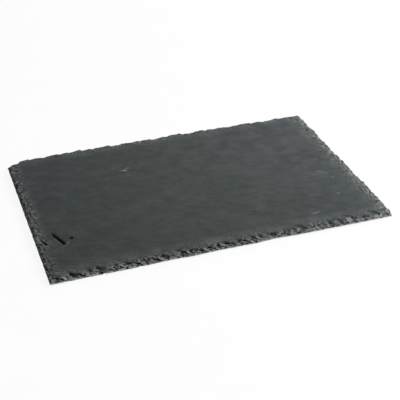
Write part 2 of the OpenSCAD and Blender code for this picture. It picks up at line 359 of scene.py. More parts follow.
def sweep(tree):
    """Rows of points from the underside's edge up over the dressed edge, one row a station."""
    rows = []
    inner = CORNER_INSET - RING_INSET
    for centre, out in zip(*stations()):
        start = (centre + out * 2 * CORNER_INSET).to_3d() + Vector((0, 0, EDGE_PROBE_HEIGHT))
        hit = tree.ray_cast(start, (-out).to_3d())[0]
        reach = (hit.to_2d() - centre).length
        row = [(centre + out * reach).to_3d()]
        first, last = reach, inner - THICKNESS
        for k in range(1, RAYS + 1):
            level = first + (last - first) * k / RAYS
            origin = (centre + out * (level + RAY_START_HEIGHT)).to_3d()
            origin.z = RAY_START_HEIGHT
            hit = tree.ray_cast(origin, Vector((-out.x, -out.y, -1)).normalized())[0]
            row.append(hit if hit else row[-1].copy())
        rows.append([tuple(p) for p in row])
    return np.array(rows)


def distance_to_line(points, start, end):
    """Distance of each point from the straight line between two places."""
    a, b = np.array(start), np.array(end)
    t = np.clip((points - a) @ (b - a) / ((b - a) @ (b - a)), 0, 1)
    return np.linalg.norm(points - a - t[..., None] * (b - a), axis=-1)


def from_splits(points):
    """Distance of each point from the nearest split on the face, seen from above."""
    return np.min([distance_to_line(points[..., :2], start, end) for start, end, _ in SPLITS], axis=0)


def from_pit(points):
    """Distance of each point from the middle of the pit, seen from above."""
    return np.linalg.norm(points[:, :2] - np.array(PIT), axis=1)


def side_weights(count):
    """For each side in turn, 1 at its stations and a smooth change over at the corners."""
    weights = np.zeros((4, count))
    at = 0
    for side, length in enumerate((HALF_LENGTH, HALF_WIDTH, HALF_LENGTH, HALF_WIDTH)):
        straight = round(2 * (length - CORNER_INSET) / STATION_SPACING)
        weights[side, at:at + straight] = 1
        at += straight
        turn = smooth(0, CORNER_STATIONS, np.arange(CORNER_STATIONS))
        weights[side, at:at + CORNER_STATIONS] = 1 - turn
        weights[(side + 1) % 4, at:at + CORNER_STATIONS] = turn
        at += CORNER_STATIONS
    return weights


def worn(rows):
    """The swept points with the crests between flakes worn down, and the outline kept."""
    soft = rows
    for _ in range(WEAR_ROUNDS):
        soft = (2 * soft + np.roll(soft, 1, axis=0) + np.roll(soft, -1, axis=0)) / 4
    up = smooth(0, WEAR_CLEAR_RAYS, np.arange(rows.shape[1]))
    share = np.outer(np.array(WEAR_SHARES) @ side_weights(len(rows)), up)
    share *= smooth(SPLIT_BAND, 2 * SPLIT_BAND, from_splits(rows))
    return rows + share[:, :, None] * (soft - rows)


def eased_out(rows):
    """The swept points with the dressed edges drawn out to the photographed outline."""
    place, half, reach = BULGE
    bulge = reach * (1 - smooth(0, 1, np.abs(rows[:, :, 1] - place) / half))
    from_corner = HALF_WIDTH - np.abs(rows[:, :, 1])
    share = smooth(0, EASED_RIGHT_CORNER, from_corner) * smooth(*EASED_RIGHT_HEIGHTS, rows[:, :, 2])
    front, right, back, left = EASED_OUT
    eased = rows.copy()
    for side, out in enumerate((front, (right + bulge) * share, back, left)):
        axis = 1 - side % 2
        sign = 1 if side in (1, 2) else -1
        gap = (HALF_LENGTH, HALF_WIDTH)[axis] - BOX_GAP - sign * rows[:, :, axis]
        shift = out * (1 - smooth(*EASED_FADE, gap))
        eased[:, :, axis] += sign * np.minimum(shift, np.maximum(gap, 0))
    return eased


def eased_tip(rows):
    """The swept points with the far left corner's rim drawn in to the photograph's line."""
    (x, y), (end_x, end_y) = TIP_LINE
    line = y + (rows[:, :, 0] - x) * (end_y - y) / (end_x - x)
    beyond = np.maximum(rows[:, :, 1] - line + TIP_EASE, 0)
    share = (1 - smooth(*TIP_ENDS, rows[:, :, 0])) * rows[:, :, 2] / THICKNESS
    eased = rows.copy()
    eased[:, :, 1] -= beyond * share * TIP_CUT / (TIP_CUT + TIP_EASE)
    return eased


def heights_up(rows):
    """How far up its dressed edge each swept point lies, measured over the surface."""
    lengths = np.linalg.norm(np.diff(rows, axis=1), axis=2)
    return np.concatenate((np.zeros((len(rows), 1)), np.cumsum(lengths, axis=1)), axis=1)


def drawn_places(generator, side, gaps):
    """Places along a side, drawn with gaps between these limits."""
    half = HALF_WIDTH if side % 2 else HALF_LENGTH
    places = np.cumsum(generator.uniform(*gaps, size=int(2 * half / gaps[0]))) - half
    return places[places < half]


def side_lips(side):
    """Places of a side's lips, in order along it, and the strength of each."""
    if side == 0:
        return np.array(FRONT_LIPS, float).T
    generator = np.random.default_rng(side)
    places = drawn_places(generator, side, LIP_GAPS)
    return places, generator.uniform(*LIP_STRENGTHS, size=len(places))


def lips(along, up, side):
    """How high each point stands towards its lip's crest, 0 to 1, and 1 in the open slits."""
    lean = math.radians(LIP_LEANS[side])
    spots = np.stack((along, up, np.full(along.shape, side * LIP_SEED_STEP)), axis=-1)
    line = along + waves(spots, *LIP_WAVES) + (up - LIP_MIDDLE) / math.tan(lean)
    places, strengths = side_lips(side)
    beyond = 4 * HALF_LENGTH
    places = np.concatenate(([-beyond], places, [beyond]))
    strengths = np.concatenate(([0], strengths, [0]))
    after = np.searchsorted(places, line).clip(1, len(places) - 1)
    leaning = abs(math.sin(lean))
    crest = 1 - smooth(0, LIP_REACH, (line - places[after - 1]) * leaning)
    slit = 1 - smooth(SLIT_FLOOR_SHARE * SLIT_WIDTH, SLIT_WIDTH, (places[after] - line) * leaning)
    slit *= patches(spots, SLIT_PATCHES)
    return strengths[after - 1] * crest, strengths[after] * slit


def shingles(along, up, side):
    """Fine leaning leaves between the lips: how far down each point lies on its leaf, 0 to 1."""
    lean = math.radians(SHINGLE_LEAN_SHARE * LIP_LEANS[side])
    down = -along * math.sin(lean) - up * math.cos(lean)
    spots = np.stack((along, up, np.full(along.shape, side * SHINGLE_SEED_STEP)), axis=-1)
    phase = down / SHINGLE_SPACING + waves(spots, SHINGLE_WAVE)
    share = phase - np.floor(phase)
    return np.minimum(share / SHINGLE_RISE_SHARE, (1 - share) / (1 - SHINGLE_RISE_SHARE))


def leaf_cuts(rows):
    """How deep the lips and leaves of every side are cut at each swept point, and the slits."""
    up = heights_up(rows)
    depth, slits = np.zeros(up.shape), np.zeros(up.shape)
    for side, weight in enumerate(side_weights(len(rows))):
        use = weight > 0
        along = rows[use][:, :, side % 2] * (1 if side < 2 else -1)
        share = LIP_SHARES[side] * weight[use, None]
        crest, slit = lips(along, up[use], side)
        leaf = shingles(along, up[use], side)
        depth[use] += share * (LIP_DEPTH * (1 - crest) + SLIT_DEPTH * slit + SHINGLE_DEPTH * (1 - leaf))
        slits[use] = np.maximum(slits[use], share * slit)
    return depth, slits


def spread(grid, times):
    """The grid's values averaged with their neighbours, round the board and along each row."""
    for _ in range(times):
        padded = np.concatenate((grid[:, :1], grid, grid[:, -1:]), axis=1)
        along = (padded[:, :-2] + padded[:, 2:]) / 2
        around = (np.roll(grid, 1, axis=0) + np.roll(grid, -1, axis=0)) / 2
        grid = (2 * grid + along + around) / 4
    return grid


def side_spalls(side):
    """Place along its side, half length and reach inwards of each of a side's spalls."""
    if side == 0:
        return ()
    if side == 1:
        return RIGHT_SPALLS
    generator = np.random.default_rng(SPALL_SEED + side)
    places = drawn_places(generator, side, SPALL_GAPS)
    halves = generator.uniform(*SPALL_HALVES, size=len(places))
    return zip(places, halves, generator.uniform(*SPALL_REACHES, size=len(places)))


def spalled(rows):
    """1 where a shallow spall has left the rim of the face broken, 0 where it is whole."""
    ragged = waves(rows * (1, 1, 0), *SPALL_WAVES)
    found = np.zeros(rows.shape[:2])
    for side, weight in enumerate(side_weights(len(rows))):
        along = rows[:, :, side % 2]
        inward = (HALF_WIDTH, HALF_LENGTH)[side % 2] - np.abs(rows[:, :, 1 - side % 2])
        for place, half, reach in side_spalls(side):
            inside = 1 - ((along - place) / half) ** 2 - (inward / reach) ** 2 + ragged
            inside *= inward < RING_INSET - SPALL_END_GAP
            found = np.maximum(found, weight[:, None] * smooth(0, SPALL_RIM, inside))
    return found


def grid_normals(rows):
    """Outward normals of the swept surface, a little smoothed."""
    around = np.roll(rows, -1, axis=0) - np.roll(rows, 1, axis=0)
    padded = np.concatenate((rows[:, :1], rows, rows[:, -1:]), axis=1)
    along = padded[:, 2:] - padded[:, :-2]
    normals = spread(np.cross(around, along), NORMAL_ROUNDS)
    return normals / np.maximum(np.linalg.norm(normals, axis=2, keepdims=True), 1e-9)


def near_feet(points):
    """1 where a foot is stuck to the underside, 0 away from the feet."""
    held = np.zeros(len(points))
    for name in FEET:
        low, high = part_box(name)
        centre = np.array([(low.x + high.x) / 2, (low.y + high.y) / 2]) / MM
        radius = (high.x - low.x) / 2 / MM
        distance = np.linalg.norm(points[:, :2] - centre, axis=1)
        held = np.maximum(held, 1 - smooth(radius, radius + FOOT_CLEAR, distance))
    return held


def relief(points):
    """How far the riven faces lie below a flat one, in millimetres: swells and thin steps."""
    flat = points * (1, 1, 0)
    sunk = waves(flat, *RELIEF_WAVES) + sum(height for height, _, _ in RELIEF_WAVES)
    terrace = waves(flat, *TERRACE_WAVES)
    for depth, limits in TERRACE_STEPS:
        sunk += depth * smooth(*limits, terrace)
    return sunk


def stepped(points, broken):
    """Heights of the points drawn towards the slate's own leaves, most where it is broken."""
    warp = waves(points, LEAF_WARP)
    level = (THICKNESS - points[:, :, 2]) / LEAF_THICKNESS + warp
    leaf = np.floor(level) + smooth(*LEAF_STEP_SHARES, level - np.floor(level))
    level += LEAF_SHARE * broken * patches(points, LEAF_PATCHES) * (leaf - level)
    return THICKNESS - LEAF_THICKNESS * (level - warp)


def thin_leaves(points, steepness):
    """Depths of the thin leaves' edges, which change from one leaf to the next."""
    layer = np.floor(points[..., 2] / THIN_THICKNESS + waves(points, THIN_WARP))
    spots = np.dstack((points[..., :2] / THIN_LENGTH, layer * THIN_SEED_STEP))
    return THIN_DEPTH * (1 + noise_at(spots, 1.0, THIN_SEED) * steepness)


def split_ends(points, below):
    """1 deep in a split where it meets the swept edge, 0 outside the splits; its shade is painted
    there.
    """
    beside = 1 - smooth(*SPLIT_REACH, from_splits(points))
    start, end = SPLIT_END_SHARES
    over_base = 1 - smooth(start * THICKNESS, end * THICKNESS, below)
    return beside * over_base * smooth(*SPLIT_DEPTHS, below)


def carve(rows):
    """The swept points with the fracture cut in along the surface's normals, how broken the
    stone is there, and how deep in a slit or a split each point lies, where shade is painted."""
    rows = eased_tip(eased_out(worn(rows)))
    below = THICKNESS - rows[:, :, 2]
    edge = smooth(*EDGE_DEPTHS, spread(below, EDGE_ROUNDS))
    spall = spalled(rows)
    broken = np.maximum(edge, SPALL_BREAK * spall)
    normals = grid_normals(rows)
    cuts, slits = leaf_cuts(rows)

    fracture = facets_at(rows, FACETS) + facets_at(rows, CHIPS)
    fracture += thin_leaves(rows, 1 - np.abs(normals[:, :, 2]))
    depth = broken * fracture + edge * cuts + SPALL_DEPTH * spall
    up = heights_up(rows)
    depth *= OUTLINE_SHARE + (1 - OUTLINE_SHARE) * smooth(0, OUTLINE_CLEAR, up)
    moved = rows - normals * depth[:, :, None]
    moved[:, :, 2] = stepped(moved, broken)
    moved[:, :, 2] -= relief(rows) * smooth(0, THICKNESS, rows[:, :, 2])
    moved[:, :, 2] = np.clip(moved[:, :, 2], 0, THICKNESS)
    moved[:, 0, 2] = 0
    # Slits and splits get painted shade only on the dressed edge, above the outline
    slits *= edge * smooth(SLIT_CLEAR, OUTLINE_CLEAR, up)
    return moved, broken, np.maximum(slits, split_ends(rows, below))


def hexagons(spacing, seed):
    """Points of a jittered triangular grid over the board."""
    generator = np.random.default_rng(seed)
    across = np.arange(-HALF_LENGTH, HALF_LENGTH, spacing)
    up = np.arange(-HALF_WIDTH, HALF_WIDTH, spacing * ROW_SHARE)
    xs, ys = np.meshgrid(across, up)
    xs[1::2] += spacing / 2
    points = np.column_stack((xs.ravel(), ys.ravel()))
    return points + generator.uniform(-JITTER_SHARE, JITTER_SHARE, points.shape) * spacing


def split_points():
    """Rows of points along each split, close on both sides of its walls."""
    rows = []
    for start, end, width in SPLITS:
        start, end = np.array(start), np.array(end)
        length = np.linalg.norm(end - start)
        ahead = (end - start) / length
        aside = np.array([-ahead[1], ahead[0]])
        edge_gap = SPLIT_STEP / 10
        places = np.arange(-2, length / SPLIT_STEP - 1) * SPLIT_STEP
        places = np.append(places, [length - edge_gap, length + edge_gap, length + 3 * SPLIT_STEP])
        taper = SPLIT_NARROW_SHARE * width
        for place in places:
            if place < taper:
                half = max(place, SPLIT_STEP) / 2
            else:
                half = (taper + (width - taper) * min((place - taper) / (length - taper), 1)) / 2
            for row in SPLIT_ROW_SHARES:
                for side in (-1, 1) if row else (1,):
                    rows.append(start + ahead * place + aside * side * row * half)
    return np.array(rows)


def by_sides(points, reaches):
    """1 by the sides and 0 further in than each side's reach: front, right, back and left."""
    x, y = points[:, 0], points[:, 1]
    gaps = (y + HALF_WIDTH, HALF_LENGTH - x, HALF_WIDTH - y, x + HALF_LENGTH)
    near = [1 - smooth(STRONG_SHARE * reach, reach, gap) for gap, reach in zip(gaps, reaches)]
    return np.max(near, axis=0)


def bluer_at(points):
    """How blue each point of the face is, 0 to 1, with wandering borders."""
    flat = np.column_stack((points[:, :2], np.zeros(len(points))))
    border = waves(flat, BLUER_WAVE)
    bluer = np.zeros(len(points))
    for centre, reach in BLUER_PLACES:
        beyond = np.linalg.norm(points[:, :2] - np.array(centre), axis=1) - reach + border
        bluer = np.maximum(bluer, 1 - smooth(-BLUER_EDGE, BLUER_EDGE, beyond))
    return bluer


def bruise_strength(points):
    """How pale the bruises make each point, 0 to 1."""
    strength = np.zeros(len(points))
    for start, end, reach, pale in BRUISES:
        distance = distance_to_line(points[:, :2], start, end)
        core = BRUISE_CORE_SHARE * reach
        strength = np.maximum(strength, pale * (1 - smooth(core, reach, distance)))
    return strength


def inside_ring(points, ring):
    """How far each point lies inside the rounded rectangle that is this far in from the sides."""
    half = np.array([HALF_LENGTH - CORNER_INSET, HALF_WIDTH - CORNER_INSET])
    outer = np.linalg.norm(np.maximum(np.abs(points) - half, 0), axis=1)
    inner = (half - np.abs(points)).min(axis=1)
    return CORNER_INSET - ring + np.where(outer > 0, -outer, inner)


def face_points():
    """Points of the top face inside the swept edge, closer where the face has finer detail."""

    def by_bruises(p):
        gaps = [distance_to_line(p, start, end) - reach for start, end, reach, _ in BRUISES]
        return BRUISE_SPACING - np.min(gaps, axis=0)

    zones = (
        (PIT_SPACING, lambda p: PIT_BAND - from_pit(p)),
        (BRUISE_SPACING, by_bruises),
        (SCAR_SPACING, lambda p: SCAR_RADIUS - np.linalg.norm(p - np.array(SCAR_CENTRE), axis=1)),
        (RIM_SPACING, lambda p: RIM_BAND - inside_ring(p, RING_INSET)),
        (FACE_SPACING, lambda p: np.ones(len(p))),
    )
    kept, finer_zones = [split_points()], [lambda p: SPLIT_BAND - from_splits(p)]
    for number, (spacing, zone) in enumerate(zones):
        found = hexagons(spacing, FACE_SEED + number)
        found = found[zone(found) > 0]
        for finer in finer_zones:
            found = found[finer(found) < -spacing / 3]
        kept.append(found)
        finer_zones.append(zone)
    points = np.vstack(kept)
    return points[inside_ring(points, RING_INSET) > FACE_CLEAR]


def filled(ring, points):
    """Triangles over a ring and the points inside it, and the points that lie inside."""
    flat = [Vector(p) for p in np.vstack((ring, points))]
    edges = [(i, (i + 1) % len(ring)) for i in range(len(ring))]
    verts, _, faces, *_ = geometry.delaunay_2d_cdt(flat, edges, [], 1, 1e-7)
    return np.array([tuple(v) for v in verts])[len(ring):], faces


def crumbled(points):
    """How far the face has crumbled beside the long split and round the pit, in millimetres."""
    start, end, _ = SPLITS[0]
    first = np.array(start) + CRUMBLED_SOUND_SHARE * (np.array(end) - np.array(start))
    by_split = distance_to_line(points[:, :2], first, end) / CRUMBLED_SPLIT
    by_pit = from_pit(points) / CRUMBLED_PIT
    return CRUMBLED_DEPTH * (1 - smooth(*CRUMBLED_FADE_SHARES, np.minimum(by_split, by_pit)))


def face_of(rows, tree):
    """Points and triangles of the face inside the swept edge, and how far the scar sinks it."""
    top, triangles = filled(rows[:, -1, :2], face_points())
    down = Vector((0, 0, -1))
    heights = [tree.ray_cast(Vector((x, y, RAY_START_HEIGHT)), down)[0].z for x, y in top]
    top = np.column_stack((top, heights))
    top[:, 2] -= crumbled(top)
    sunk = THICKNESS - top[:, 2]
    top[:, 2] -= relief(top)
    return top, triangles, sunk


def underside_of(rows):
    """Points and triangles of the underside, flat by its edge and where the feet are stuck."""
    low = hexagons(UNDERSIDE_SPACING, UNDERSIDE_SEED)
    outward = np.array([tuple(out) for out in stations()[1]])
    brim = rows[::2, 0, :2] - UNDERSIDE_BRIM * outward[::2]
    low = np.vstack((brim, low[inside_ring(low, UNDERSIDE_CLEAR) > 0]))
    low, triangles = filled(rows[:, 0, :2], low)
    low = np.column_stack((low, np.zeros(len(low))))
    inner = smooth(*UNDERSIDE_RELIEF, inside_ring(low[:, :2], 0))
    low[:, 2] += relief(low) * (1 - near_feet(low)) * inner
    return low, triangles


def swept_faces(count, across):
    """The quads between neighbouring rows, round the board."""
    faces = []
    for i in range(count):
        a, b = i * across, (i + 1) % count * across
        faces += [(a + k, b + k, b + k + 1, a + k + 1) for k in range(across - 1)]
    return faces


def joined(triangles, ring, start, up):
    """Triangles over a ring and the points from a start in the list, facing up or down."""
    faces = []
    for triangle in triangles:
        face = [ring[i] if i < len(ring) else start + i - len(ring) for i in triangle]
        faces.append(face if up else face[::-1])
    return faces


def slab_points(tree):
    """Every point and face of the slab's mesh, and how broken and how deep in a crack it is, where
    shade is painted.
    """
    rows, broken, slits = carve(sweep(tree))
    count, across, _ = rows.shape
    top, top_triangles, sunk = face_of(rows, tree)
    low, low_triangles = underside_of(rows)
    outline = np.arange(count) * across
    swept = count * across
    faces = swept_faces(count, across)
    faces += joined(top_triangles, outline + across - 1, swept, True)
    faces += joined(low_triangles, outline, swept + len(top), False)

    points = np.vstack((rows.reshape(-1, 3), top, low))
    top_fresh = SUNK_FRESH * smooth(*SUNK_FRESH_DEPTHS, sunk)
    # The pit and the splits on the face get painted shade where they are sunk
    pit = smooth(*PIT_SHADE_DEPTHS, sunk) * (from_pit(top) < PIT_BAND)
    top_deep = np.maximum(pit, smooth(*SPLIT_SHADE_DEPTHS, sunk))
    fresh = np.concatenate((broken.ravel(), top_fresh, np.zeros(len(low))))
    deep = np.concatenate((slits.ravel(), top_deep, np.zeros(len(low))))
    return points, faces, fresh, deep


def without_loose(points, faces, *values):
    """The points that a face uses, the faces over them, and the values of those points."""
    used = np.unique(np.concatenate([np.array(face) for face in faces]))
    place = np.zeros(len(points), int)
    place[used] = np.arange(len(used))
    faces = [tuple(int(place[i]) for i in face) for face in faces]
    return points[used], faces, *(value[used] for value in values)


def read(items, name, width, kind=float):
    """The named values of a mesh's points or edges, a row to each."""
    values = np.empty(len(items) * width, dtype=kind)
    items.foreach_get(name, values)
    return values.reshape(-1, width)


def hollowness(mesh, rounds):
    """How far each point lies below its neighbourhood, in millimetres; negative on ridges."""
    count = len(mesh.vertices)
    points = read(mesh.vertices, "co", 3) / MM
    normals = read(mesh.vertices, "normal", 3)
    a, b = read(mesh.edges, "vertices", 2, int).T
    degree = np.bincount(a, minlength=count) + np.bincount(b, minlength=count)
    mean = points.copy()
    for _ in range(rounds):
        total = np.zeros_like(mean)
        for axis in range(3):
            total[:, axis] = np.bincount(a, mean[b, axis], count) + np.bincount(b, mean[a, axis], count)
        mean = (mean + total / degree[:, None]) / 2
    return ((mean - points) * normals).sum(axis=1)


def weathered(points, fresh):
    """How fresh the broken stone is, less where it is weathered low behind the front edge."""
    low = 1 - smooth(*WEATHERED_HEIGHTS, points[:, 2])
    behind = smooth(*WEATHERED_BEHIND, points[:, 1]) * patches(points, WEATHERED_PATCHES)
    return fresh * (1 - WEATHERED_SHARE * low * behind)


def ridges(points, hollow):
    """How pale each point of the broken stone is: pale on its ridges, and painted light towards the
    right end.
    """
    # Painted light: towards the right end broken stone is painted as pale as the ridges
    pale = PAINTED_LIGHT_PALE * smooth(*PAINTED_LIGHT_FROM, points[:, 0]) * patches(points, PAINTED_LIGHT_PATCHES)
    pale *= smooth(*PAINTED_LIGHT_HEIGHTS, points[:, 2])
    pale *= 1 - PAINTED_LIGHT_BEHIND_LOSS * smooth(*PAINTED_LIGHT_BEHIND, points[:, 1])
    low = 1 - smooth(*DULL_HEIGHTS, points[:, 2])
    dull = DULL_SHARE * low * patches(points, DULL_PATCHES)
    return (1 - dull) * np.minimum(smooth(*RIDGE_HEIGHTS, -hollow) + pale, 1)


def give_looks(mesh, points, fresh, deep):
    """Stores where the slate is broken, painted with shade in its hollows, slits and splits, pale on
    its ridges and painted light towards the right end, rubbed, speckled with painted chips, paler,
    bluer and bruised.
    """
    hollow = hollowness(mesh, HOLLOW_ROUNDS)
    fresh = weathered(points, fresh)
    # Painted shade: slits, splits and hollows of the broken stone are darkened towards a near black
    cavity_shade = np.maximum(deep, fresh * smooth(*HOLLOW_SHADE_DEPTHS, hollow))
    upper = points[:, 2] > THICKNESS / 2
    looks = {
        "fresh": fresh,
        # Towards the right end the painted shade of the hollows fades, as painted light
        "cavity_shade": (1 - PAINTED_LIGHT_SHADE_LOSS * smooth(*PAINTED_LIGHT_FROM, points[:, 0])) * cavity_shade,
        "ridge": fresh * ridges(points, hollow),
        "margin": upper * by_sides(points, MARGINS),
        "painted_chips": upper * by_sides(points, PAINTED_CHIPS_REACH),
        # Paler towards the right end: partly the face's own tone, partly painted light
        "paler": smooth(*PALER_AND_LIT_FROM, points[:, 0]),
        "bluer": bluer_at(points),
        "bruise": upper * bruise_strength(points),
    }
    for name, values in looks.items():
        attribute = mesh.attributes.new(name, "FLOAT", "POINT")
        attribute.data.foreach_set("value", values.astype(np.float32))


def in_scene(name, data):
    """A new object of this data, in the scene."""
    thing = bpy.data.objects.new(name, data)
    bpy.context.scene.collection.objects.link(thing)
    return thing


def new_object(name, points, faces, sharp, material):
    """An object of these points, in metres, shaded smooth but for edges sharper than this."""
    mesh = bpy.data.meshes.new(name)
    mesh.from_pydata([tuple(p) for p in points], [], faces)
    mesh.validate()
    mesh.shade_smooth()
    mesh.set_sharp_from_angle(angle=sharp)
    mesh.materials.append(material)
    return in_scene(name, mesh)


SLAB_SHARP = math.radians(30)


def make_slab():
    """The slate board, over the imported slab."""
    points, faces, fresh, deep = without_loose(*slab_points(solid_tree()))
    placed = (points + np.array([0, 0, UNDERSIDE])) * MM
    board = new_object("slate_board", placed, faces, SLAB_SHARP, slate())
    give_looks(board.data, points, fresh, deep)
    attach(board, "root")
    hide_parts("slate_slab")
    print("slab triangles", sum(len(p.vertices) - 2 for p in board.data.polygons))


# How far the slate's grain is turned from the board's length
GRAIN_TURN = math.radians(18)


class Nodes:
    """The nodes of a material or of the world, with a short way to add and link them."""

    def __init__(self, owner):
        owner.use_nodes = True
        self.owner = owner
        self.tree = owner.node_tree
        self.shader = self.tree.nodes.get("Principled BSDF")
        self.place = None

    def add(self, kind, inputs=None, **settings):
        node = self.tree.nodes.new("ShaderNode" + kind)
        for name, value in settings.items():
            setattr(node, name, value)
        for name, value in (inputs or {}).items():
            self.put(value, node.inputs[name])
        return node

    def put(self, value, socket):
        if isinstance(value, bpy.types.NodeSocket):
            self.tree.links.new(value, socket)
        else:
            socket.default_value = value

    def noise(self, size, detail, roughness, drawn_out=1.0, distortion=0.0):
        """Noise from about 0 to 1 with features this many millimetres long, drawn out by a
        factor along the grain."""
        if self.place is None:
            turned = {"Vector": self.add("TexCoord").outputs["Object"], "Rotation": (0, 0, GRAIN_TURN)}
            self.place = self.add("Mapping", turned).outputs["Vector"]
        scale = tuple(1 / (stretch * size * MM) for stretch in (drawn_out, 1, 1))
        mapped = self.add("Mapping", {"Vector": self.place, "Scale": scale}).outputs["Vector"]
        inputs = {"Vector": mapped, "Scale": 1.0, "Detail": detail, "Roughness": roughness,
                  "Distortion": distortion}
        return self.add("TexNoise", inputs).outputs["Fac"]

    def math(self, operation, *values):
        node = self.add("Math", operation=operation)
        for socket, value in zip(node.inputs, values):
            self.put(value, socket)
        return node.outputs["Value"]

    def fit(self, value, limits, levels=(0.0, 1.0)):
        """The value, brought from its limits to these levels."""
        inputs = {"Value": value, "From Min": limits[0], "From Max": limits[1],
                  "To Min": levels[0], "To Max": levels[1]}
        return self.add("MapRange", inputs, interpolation_type="SMOOTHSTEP").outputs["Result"]

    def layer(self, named):
        """A named layer of noise, brought from its limits to its levels."""
        *look, limits, levels = named
        return self.fit(self.noise(*look), limits, levels)

    def mix(self, factor, first, second, blend="MIX"):
        node = self.add("Mix", data_type="RGBA", blend_type=blend)
        self.put(factor, node.inputs[0])
        for value, socket in ((first, node.inputs[6]), (second, node.inputs[7])):
            self.put((*value, 1) if isinstance(value, tuple) else value, socket)
        return node.outputs[2]

    def mark(self, under, where, *marks):
        """What is under the marks, with each laid over it where the place has it."""
        for colour, layer in marks:
            under = self.mix(self.math("MULTIPLY", where, self.layer(layer)), under, colour)
        return under

    def grey(self, value):
        return self.add("CombineColor", {"Red": value, "Green": value, "Blue": value}).outputs[0]

    def attribute(self, name):
        return self.add("Attribute", attribute_name=name).outputs["Fac"]

    def seen(self):
        """1 for the rays that show what lies behind the board, and 0 for those that light it."""
        path = self.add("LightPath").outputs
        either = self.math("MAXIMUM", path["Is Camera Ray"], path["Is Glossy Ray"])
        return self.math("MAXIMUM", either, path["Is Transmission Ray"])

    def bump(self, height, strength, depth, under=None):
        inputs = {"Height": height, "Strength": strength, "Distance": depth}
        if under is not None:
            inputs["Normal"] = under
        return self.add("Bump", inputs).outputs["Normal"]


# Colours of the slate's face and of its broken stone, and of the painted light and shade on them
GREENISH = (0.0350, 0.0418, 0.0400)
BLUISH = (0.0356, 0.0418, 0.0470)
# A paler, bluer face towards the right end: partly its own tone, partly painted light
PALER_AND_LIT = (0.056, 0.066, 0.071)
PALER_AND_LIT_SHARE = 0.28
BROKEN_DARK = (0.045, 0.049, 0.048)
BROKEN_PALE = (0.145, 0.154, 0.151)
# Pale ridges of broken stone, and the painted light towards the right end
RIDGE_PALE_AND_LIT = (0.30, 0.315, 0.31)
# The near black of the painted shade in hollows, slits and splits
CAVITY_SHADE = (0.004, 0.0042, 0.0042)

# Layers of noise: the size of their features in millimetres, their detail and roughness, how
# far they are drawn out along the grain, their limits, and the levels that those come to.
# A mark is a colour and the layer that it shows in.
ZONE_LAYER = (26, 3.0, 0.5, 1.0, (0.3, 0.7), (-0.3, 0.3))
MOTTLE_LAYER = (9, 5.0, 0.62, 1.5, (0.25, 0.75), (0.80, 1.20))
GRAIN_LAYER = (1.3, 3.0, 0.6, 4.0, (0.25, 0.75), (0.88, 1.12))
SPECKLE_LAYER = (0.6, 3.0, 0.75, 1.0, (0.25, 0.75), (0.80, 1.20))
STREAK_PLACE_LAYER = (38, 2.0, 0.5, 1.0, (0.45, 0.65), (0.0, 1.0))
STREAK_LAYER = (2.2, 3.0, 0.65, 8.0, (0.25, 0.75), (0.90, 1.10))
DUST = ((0.100, 0.112, 0.109), (2.6, 4.0, 0.75, 2.2, (0.62, 0.74), (0.0, 0.40)))
# Painted shade of small dimples in the face
DIMPLE_SHADE = ((0.012, 0.014, 0.014), (1.9, 3.0, 0.7, 1.8, (0.36, 0.26), (0.0, 0.45)))
MARGIN_LAYER = (13, 3.0, 0.6, 1.4, (0.38, 0.60), (0.30, 1.15))
RUBBED = ((0.085, 0.097, 0.093), (5.0, 4.0, 0.65, 1.5, (0.25, 0.75), (0.10, 0.75)))
CRUSHED = ((0.140, 0.157, 0.150), (1.7, 4.0, 0.75, 1.0, (0.52, 0.66), (0.0, 0.65)))
# Painted shade of small nicks in the margin
NICK_SHADE = ((0.010, 0.012, 0.011), (2.1, 4.0, 0.70, 1.0, (0.44, 0.34), (0.0, 0.70)))
BRUISED = ((0.23, 0.245, 0.24), (1.1, 3.0, 0.7, 1.0, (0.30, 0.60), (0.0, 1.0)))
BROKEN_LAYER = (2.4, 5.0, 0.7, 1.0, (0.32, 0.68), (0.0, 1.0))
RAGGED_LAYER = (1.6, 3.0, 0.6, 1.0, (0.2, 0.8), (-0.20, 0.20))
PAINTED_CHIPS_LAYER = (13, 3.0, 0.6, 1.4, (0.35, 0.55), (0.45, 1.0))
# Small chips: a painted highlight on their lit sides, and their painted shade
CHIP_LIT = ((0.215, 0.230, 0.222), (2.6, 3.0, 0.7, 1.0, (0.53, 0.63), (0.0, 0.80)))
CHIP_SHADED = ((0.012, 0.014, 0.013), (2.9, 3.0, 0.7, 1.5, (0.46, 0.37), (0.0, 0.90)))
ROUGH_LAYER = (14, 4.0, 0.6, 1.0, (0.3, 0.7), (0.44, 0.56))

# Between these levels of freshness the broken stone begins, and its roughness grows
BROKEN_LIMITS = (0.05, 0.85)
FRESH_ROUGH = ((0.1, 0.7), (0.0, 0.30))
SLATE_SPECULAR = 0.05

# Bumps of the slate: noise as above with its distortion, and the strength and depth
CLEAVED = (5.0, 5.0, 0.60, 1.7, 0.3)
CLEAVED_BUMP = (0.30, 0.0004)
GRITTY = (0.7, 4.0, 0.7)
GRITTY_BUMP = (0.35, 0.0002)


